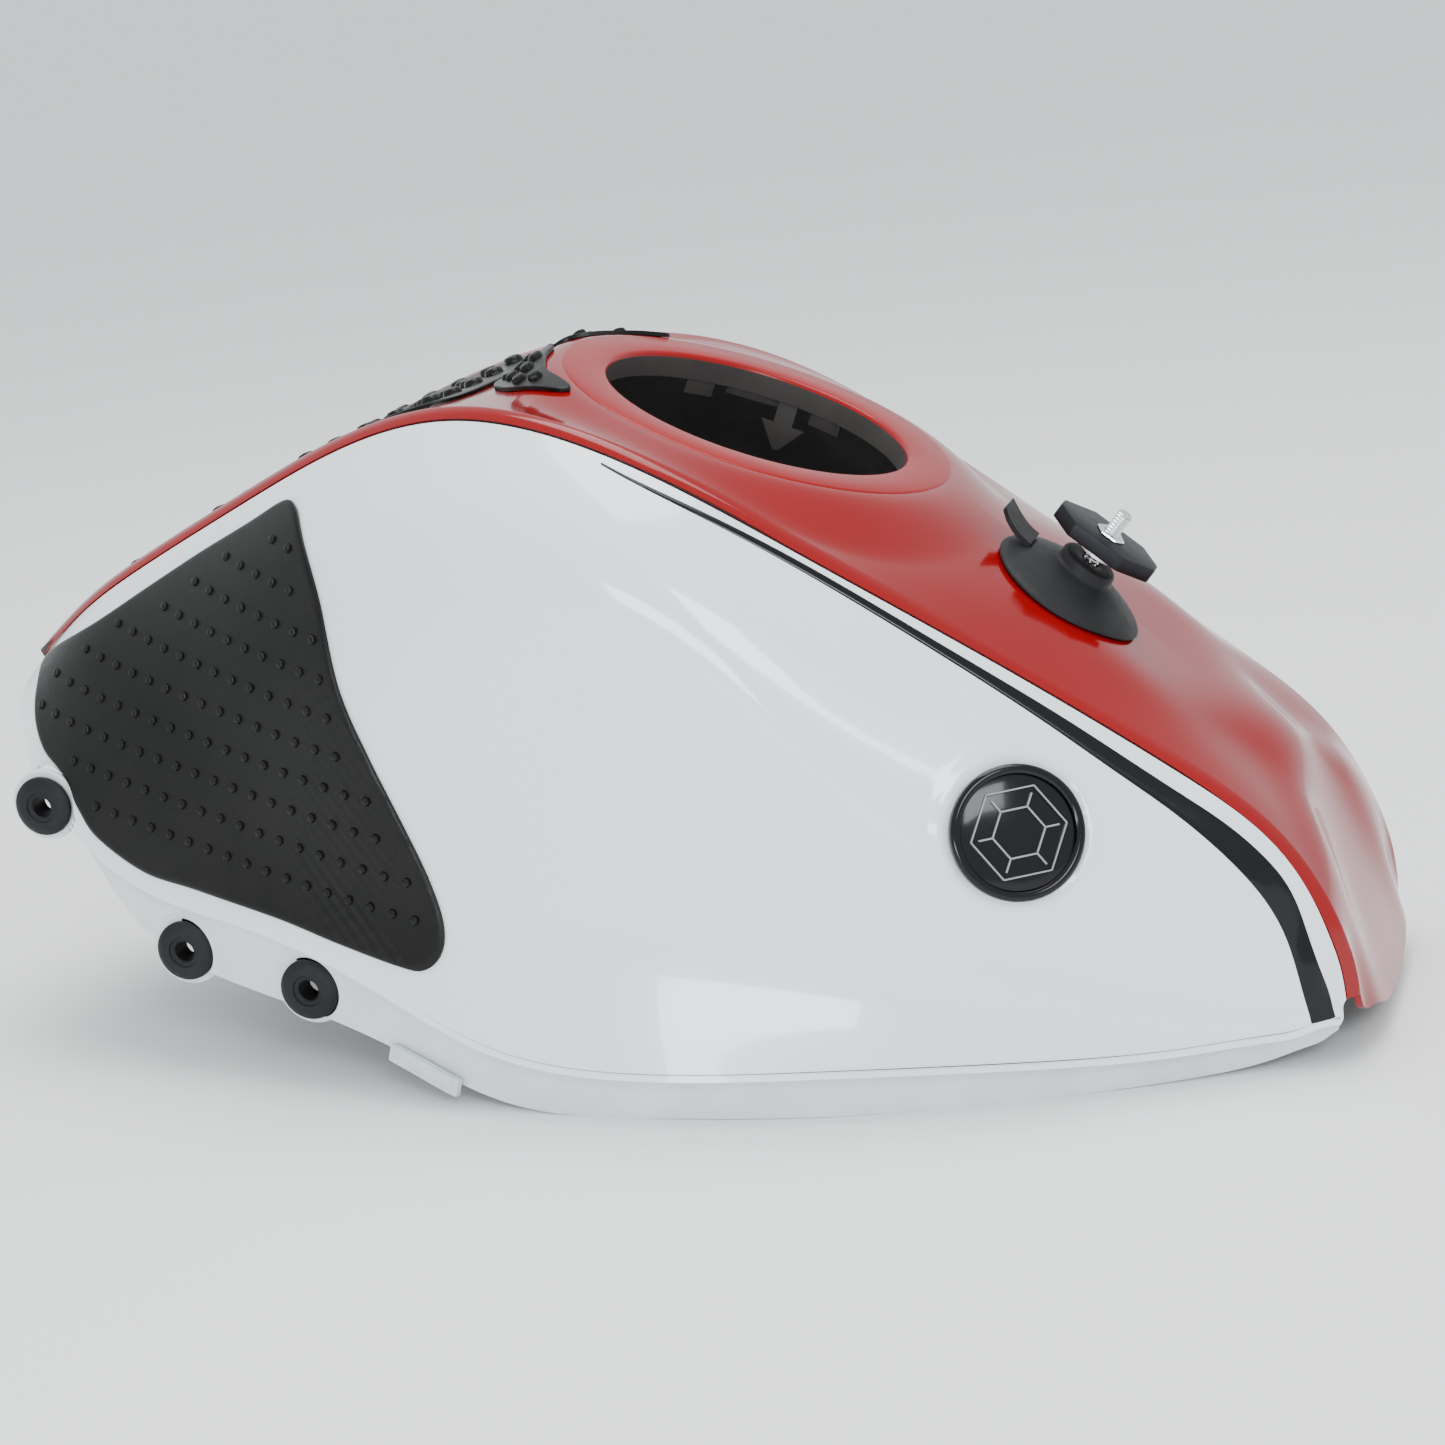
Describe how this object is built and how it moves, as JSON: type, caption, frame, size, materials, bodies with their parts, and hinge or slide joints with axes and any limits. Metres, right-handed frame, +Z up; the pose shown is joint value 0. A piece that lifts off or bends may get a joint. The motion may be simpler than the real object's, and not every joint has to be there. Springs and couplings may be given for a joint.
{
  "type": "motorcycle tank cover",
  "caption": "Shell of three plastic covers that dresses a motorcycle fuel tank, with grip pads, badges, grommets and a suction mount.",
  "frame": {"origin": "centre of the bounding box in plan, at the level of the lower edges the covers rest on", "axes": "+X towards the nose, +Y towards the rider's left side, +Z up"},
  "size_m": [0.5436, 0.274, 0.2658],
  "materials": {
    "red_gloss": "deep gloss red paint",
    "white_gloss": "cool white gloss paint",
    "grip_rubber": "semi-gloss studded rubber sheet",
    "black_gloss": "gloss black",
    "pale_foam": "matte pale grey",
    "soft_rubber": "matte black rubber",
    "bright_steel": "polished",
    "black_metal": "brushed black"
  },
  "bodies": {
    "covers": {"side_cover_left": "white_gloss", "side_cover_right": "white_gloss", "centre_cover": "red_gloss", "knee_pad_left": "grip_rubber", "knee_pad_right": "grip_rubber", "stripe_left": "black_gloss", "stripe_right": "black_gloss", "centre_pad": "grip_rubber", "pad_wing_left": "grip_rubber", "pad_wing_right": "grip_rubber", "edge_strip_left": "pale_foam", "edge_strip_right": "pale_foam", "badge_bezel_left": "black_gloss", "badge_bezel_right": "black_gloss", "badge_disc_left": "black_gloss", "badge_disc_right": "black_gloss", "grommet_front_left": "soft_rubber", "grommet_front_right": "soft_rubber", "grommet_middle_left": "soft_rubber", "grommet_middle_right": "soft_rubber", "grommet_rear_left": "soft_rubber", "grommet_rear_right": "soft_rubber", "suction_cup": "soft_rubber", "threaded_stud": "bright_steel"},
    "washer": {"nut_washer": "bright_steel"},
    "thumb_nut": {"thumb_plate": "black_metal"}
  },
  "joints": [
    {"name": "nut_travel", "type": "slide", "parent": "covers", "child": "washer", "axis": [0.65, -0.0339, 0.7592], "range_m": [-0.00254, 0.00508]},
    {"name": "thumb_nut_turn", "type": "hinge", "parent": "washer", "child": "thumb_nut", "pos_m": [0.18025, -0.02084, 0.18489], "axis": [0.65, -0.0339, 0.7592], "range_deg": [-720, 1440]}
  ],
  "couplings": [
    {"joint": "nut_travel", "follows": "thumb_nut_turn", "m_per_rad": 0.00020213}
  ]
}
